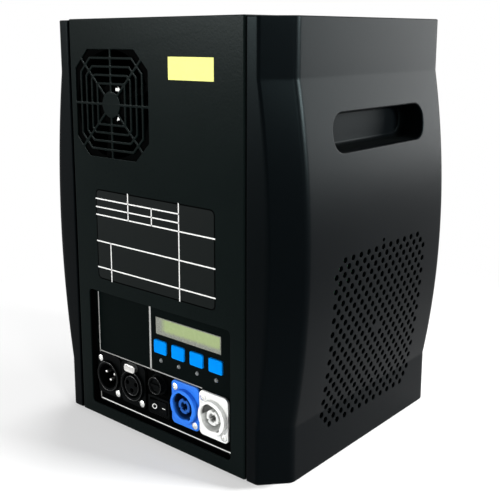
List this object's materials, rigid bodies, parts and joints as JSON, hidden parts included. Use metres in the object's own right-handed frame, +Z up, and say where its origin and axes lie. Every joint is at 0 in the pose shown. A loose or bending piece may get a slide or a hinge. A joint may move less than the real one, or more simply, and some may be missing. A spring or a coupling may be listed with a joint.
{
  "type": "cold spark machine",
  "caption": "Stage cold spark machine: sheet-metal body between two bulged side covers with handle pockets and vents, a recessed control window and a top nozzle.",
  "frame": {"origin": "on the floor below the middle of the bounding box", "axes": "+Z up, -Y out of the control side with the fan grille, +X towards the vented side cover"},
  "size_m": [0.2394, 0.208, 0.3089],
  "materials": {
    "powder_black": "black textured powder coat, satin",
    "moulded_black": "black moulded cover with a fine texture, satin",
    "black_plastic": "black plastic",
    "blue_plastic": "blue plastic",
    "key_blue": "bright blue key",
    "white_plastic": "white plastic",
    "zinc_steel": "zinc-plated steel",
    "stainless": "stainless steel",
    "green_board": "green circuit board",
    "display_pane": "pale green display window",
    "light_grey": "clear grey lens",
    "mica": "mica heater band",
    "fuse_glass": "glass tube fuse",
    "rubber_black": "black rubber"
  },
  "bodies": {
    "machine": {"base_plate": "powder_black", "blower_housing": "black_plastic", "blower_motor": "zinc_steel", "card_reader_board": "green_board", "control_plate": "powder_black", "display_glass": "display_pane", "display_module": "zinc_steel", "fan_frame": "black_plastic", "feed_motor": "zinc_steel", "feed_tube": "stainless", "foot_front_left": "rubber_black", "foot_front_right": "rubber_black", "foot_rear_left": "rubber_black", "foot_rear_right": "rubber_black", "front_panel": "powder_black", "furnace_barrel": "stainless", "furnace_bracket": "zinc_steel", "fuse_holder": "black_plastic", "fuse_link": "fuse_glass", "granule_hopper": "stainless", "heater_sleeve": "mica", "indicator_light_1": "light_grey", "indicator_light_2": "light_grey", "indicator_light_3": "light_grey", "indicator_light_4": "light_grey", "key_board": "green_board", "lid_hinge_pin": "zinc_steel", "main_board": "green_board", "nozzle_tube": "stainless", "power_inlet": "blue_plastic", "power_outlet": "white_plastic", "power_supply": "zinc_steel", "power_switch_housing": "black_plastic", "rear_panel": "powder_black", "riser_duct": "stainless", "side_cover_left": "moulded_black", "side_cover_right": "moulded_black", "top_plate": "powder_black", "xlr_input_pins": "zinc_steel", "xlr_input_shell": "black_plastic", "xlr_output_insert": "black_plastic", "xlr_output_shell": "black_plastic"},
    "fan_rotor": {"fan_rotor": "black_plastic"},
    "blower_impeller": {"blower_impeller": "black_plastic"},
    "feed_screw": {"feed_screw": "stainless"},
    "key_1": {"key_1": "key_blue"},
    "key_2": {"key_2": "key_blue"},
    "key_3": {"key_3": "key_blue"},
    "key_4": {"key_4": "key_blue"},
    "power_switch_rocker": {"power_switch_rocker": "black_plastic"},
    "xlr_output_latch": {"xlr_output_latch": "zinc_steel"},
    "fuse_cap": {"fuse_cap": "black_plastic"},
    "filler_lid": {"filler_lid": "powder_black"}
  },
  "joints": [
    {"name": "fan_spin", "type": "hinge", "parent": "machine", "child": "fan_rotor", "pos_m": [-0.0394, -0.0989, 0.2468], "axis": [0, 1, 0], "continuous": true},
    {"name": "blower_spin", "type": "hinge", "parent": "machine", "child": "blower_impeller", "pos_m": [-0.0285, 0.011, 0.068], "axis": [0, 1, 0], "continuous": true},
    {"name": "feed_screw_turn", "type": "hinge", "parent": "machine", "child": "feed_screw", "pos_m": [0, 0.0256, 0.184], "axis": [0, 1, 0], "continuous": true},
    {"name": "key_1_press", "type": "slide", "parent": "machine", "child": "key_1", "axis": [0, 1, 0], "range_m": [0, 0.0006], "stiffness_N_per_m": 800, "springref_m": -0.001},
    {"name": "key_2_press", "type": "slide", "parent": "machine", "child": "key_2", "axis": [0, 1, 0], "range_m": [0, 0.0006], "stiffness_N_per_m": 800, "springref_m": -0.001},
    {"name": "key_3_press", "type": "slide", "parent": "machine", "child": "key_3", "axis": [0, 1, 0], "range_m": [0, 0.0006], "stiffness_N_per_m": 800, "springref_m": -0.001},
    {"name": "key_4_press", "type": "slide", "parent": "machine", "child": "key_4", "axis": [0, 1, 0], "range_m": [0, 0.0006], "stiffness_N_per_m": 800, "springref_m": -0.001},
    {"name": "power_switch_tip", "type": "hinge", "parent": "machine", "child": "power_switch_rocker", "pos_m": [-0.0013, -0.0981, 0.0305], "axis": [0, 0, 1], "range_deg": [-16, 0]},
    {"name": "xlr_latch_press", "type": "slide", "parent": "machine", "child": "xlr_output_latch", "axis": [0, 1, 0], "range_m": [0, 0.0012], "stiffness_N_per_m": 1500, "springref_m": -0.001},
    {"name": "fuse_cap_turn", "type": "hinge", "parent": "machine", "child": "fuse_cap", "pos_m": [-0.0013, -0.1039, 0.0477], "axis": [0, -1, 0], "range_deg": [0, 90]},
    {"name": "filler_lid_swing", "type": "hinge", "parent": "machine", "child": "filler_lid", "pos_m": [0, 0.0886, 0.3076], "axis": [-1, 0, 0], "range_deg": [0, 100]}
  ]
}
